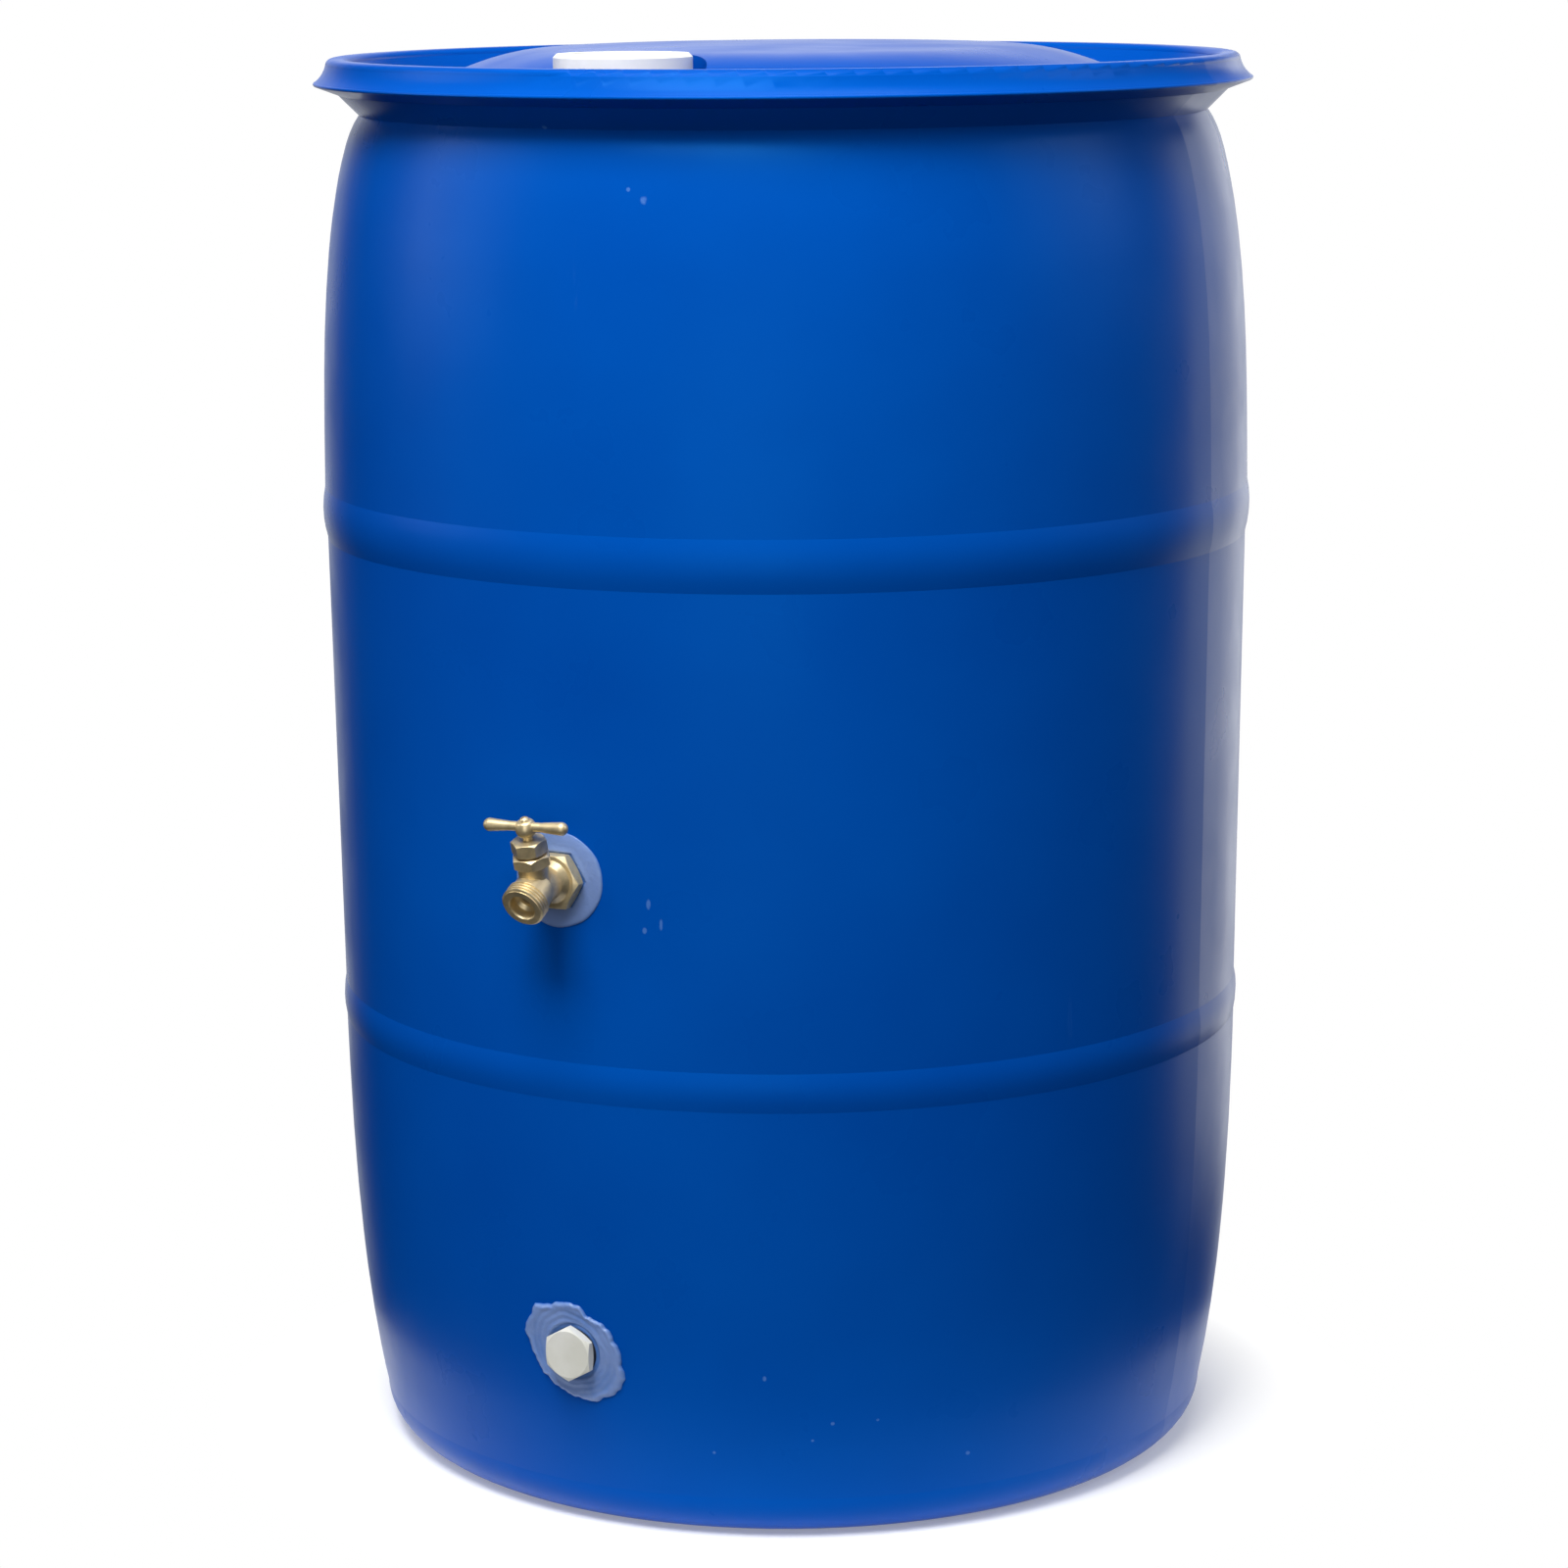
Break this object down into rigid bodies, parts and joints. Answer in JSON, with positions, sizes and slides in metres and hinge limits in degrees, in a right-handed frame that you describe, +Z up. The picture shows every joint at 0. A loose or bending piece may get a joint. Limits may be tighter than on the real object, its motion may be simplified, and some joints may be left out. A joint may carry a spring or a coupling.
{
  "type": "closed-head plastic drum with tap",
  "caption": "Blue closed-head plastic drum with two screw bungs in its domed head, a brass tee-handle tap sealed into the wall and a hexagonal drain plug near the base.",
  "frame": {"origin": "centre of the stand ring at floor level, on the drum's axis", "axes": "+Z up along the drum's axis; -Y towards the tap, the drain plug and the large bung"},
  "size_m": [0.5907, 0.6334, 0.8915],
  "materials": {
    "drum_plastic": "satin blue blow-moulded polyethylene",
    "bung_plastic": "white moulded polyethylene",
    "plug_plastic": "off-white moulded plastic",
    "nut_plastic": "black glass-filled nylon",
    "brass": "cast and machined brass, lightly worn",
    "rubber": "black nitrile rubber",
    "packing": "graphite packing",
    "sealant": "milky translucent silicone sealant"
  },
  "bodies": {
    "root": {"drum_shell": "drum_plastic", "tap_body": "brass", "tap_bonnet": "brass", "packing_nut": "brass", "packing_ring": "packing", "tap_gasket": "rubber", "tap_locknut": "brass", "tap_sealant": "sealant", "drain_gasket": "rubber", "drain_locknut": "nut_plastic", "drain_sealant": "sealant"},
    "large_bung_gasket": {"large_bung_gasket": "rubber"},
    "large_bung": {"large_bung": "bung_plastic"},
    "small_bung_gasket": {"small_bung_gasket": "rubber"},
    "small_bung": {"small_bung": "bung_plastic"},
    "centre_plug_gasket": {"centre_plug_gasket": "rubber"},
    "centre_plug": {"centre_plug": "bung_plastic"},
    "tap_washer": {"seat_washer": "rubber"},
    "tap_spindle": {"stem": "brass", "washer_screw": "brass", "tee_handle": "brass", "handle_screw": "brass"},
    "drain_washer": {"drain_plug_washer": "rubber"},
    "drain_plug": {"drain_plug": "plug_plastic"}
  },
  "joints": [
    {"name": "large_bung_lift", "type": "slide", "parent": "root", "child": "large_bung_gasket", "axis": [0, 0, 1], "range_m": [0, 0.06]},
    {"name": "large_bung_turn", "type": "hinge", "parent": "large_bung_gasket", "child": "large_bung", "pos_m": [0, -0.2, 0.879], "axis": [0, 0, 1], "range_deg": [0, 3602]},
    {"name": "small_bung_lift", "type": "slide", "parent": "root", "child": "small_bung_gasket", "axis": [0, 0, 1], "range_m": [0, 0.056]},
    {"name": "small_bung_turn", "type": "hinge", "parent": "small_bung_gasket", "child": "small_bung", "pos_m": [0, 0.2, 0.872], "axis": [0, 0, 1], "range_deg": [0, 5042]},
    {"name": "centre_plug_lift", "type": "slide", "parent": "small_bung", "child": "centre_plug_gasket", "axis": [0, 0, 1], "range_m": [0, 0.02]},
    {"name": "centre_plug_turn", "type": "hinge", "parent": "centre_plug_gasket", "child": "centre_plug", "pos_m": [0, 0.2, 0.8725], "axis": [0, 0, 1], "range_deg": [0, 3971.1]},
    {"name": "drain_plug_draw", "type": "slide", "parent": "root", "child": "drain_washer", "axis": [0, -1, 0], "range_m": [0, 0.026]},
    {"name": "drain_plug_turn", "type": "hinge", "parent": "drain_washer", "child": "drain_plug", "pos_m": [0, -0.28153, 0.116], "axis": [0, -1, 0], "range_deg": [0, 5161.9]},
    {"name": "stem_rise", "type": "slide", "parent": "root", "child": "tap_washer", "axis": [0, -0.2756, 0.9613], "range_m": [0, 0.0046]},
    {"name": "stem_turn", "type": "hinge", "parent": "tap_washer", "child": "tap_spindle", "pos_m": [0, -0.31508, 0.411], "axis": [0, -0.2756, 0.9613], "range_deg": [0, 900]}
  ],
  "couplings": [
    {"joint": "large_bung_turn", "follows": "large_bung_lift", "rad_per_m": 1047.2},
    {"joint": "small_bung_turn", "follows": "small_bung_lift", "rad_per_m": 1570.8},
    {"joint": "centre_plug_turn", "follows": "centre_plug_lift", "rad_per_m": 3463.7},
    {"joint": "drain_plug_turn", "follows": "drain_plug_draw", "rad_per_m": 3463.7},
    {"joint": "stem_rise", "follows": "stem_turn", "m_per_rad": 0.00028648}
  ]
}
